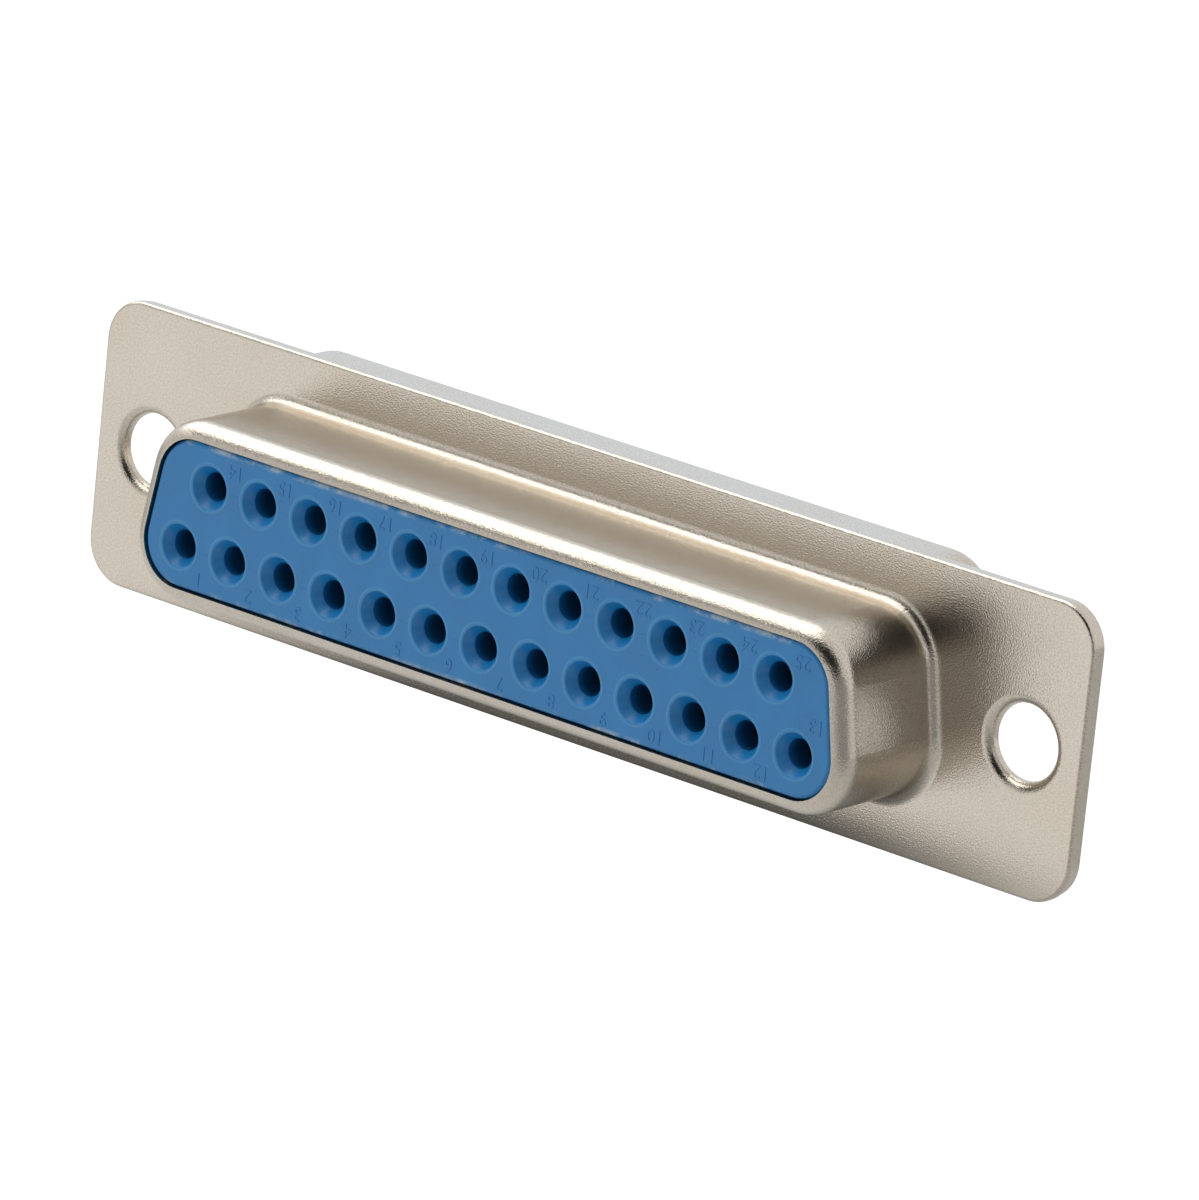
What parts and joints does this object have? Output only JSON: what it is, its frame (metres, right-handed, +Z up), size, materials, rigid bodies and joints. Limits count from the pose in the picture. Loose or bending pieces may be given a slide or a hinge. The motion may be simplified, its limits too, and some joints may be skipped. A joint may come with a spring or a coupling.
{
  "type": "d-sub connector",
  "caption": "Socket-side D-sub connector: D-shaped steel collar and rear body riveted at their flanges, a moulded insulator with two rows of pin holes, and solder cups behind.",
  "frame": {"origin": "midway between the two panel holes, on the front face of the flange", "axes": "+X along the rows of contacts, to the right of a viewer who faces the mating side; -Y out of the mating side; +Z up, with the wide side of the D, and its 13 contacts, at the bottom"},
  "size_m": [0.053, 0.0126, 0.0126],
  "materials": {
    "plated_steel": "satin nickel plating on drawn sheet steel",
    "insulator": "moulded blue glass-filled polyester, semi-gloss",
    "contact_metal": "gold-flashed turned brass"
  },
  "bodies": {
    "root": {"front_shell": "plated_steel", "rear_shell": "plated_steel", "front_insulator": "insulator", "rear_insulator": "insulator", "contact_01": "contact_metal", "contact_02": "contact_metal", "contact_03": "contact_metal", "contact_04": "contact_metal", "contact_05": "contact_metal", "contact_06": "contact_metal", "contact_07": "contact_metal", "contact_08": "contact_metal", "contact_09": "contact_metal", "contact_10": "contact_metal", "contact_11": "contact_metal", "contact_12": "contact_metal", "contact_13": "contact_metal", "contact_14": "contact_metal", "contact_15": "contact_metal", "contact_16": "contact_metal", "contact_17": "contact_metal", "contact_18": "contact_metal", "contact_19": "contact_metal", "contact_20": "contact_metal", "contact_21": "contact_metal", "contact_22": "contact_metal", "contact_23": "contact_metal", "contact_24": "contact_metal", "contact_25": "contact_metal"}
  },
  "joints": []
}
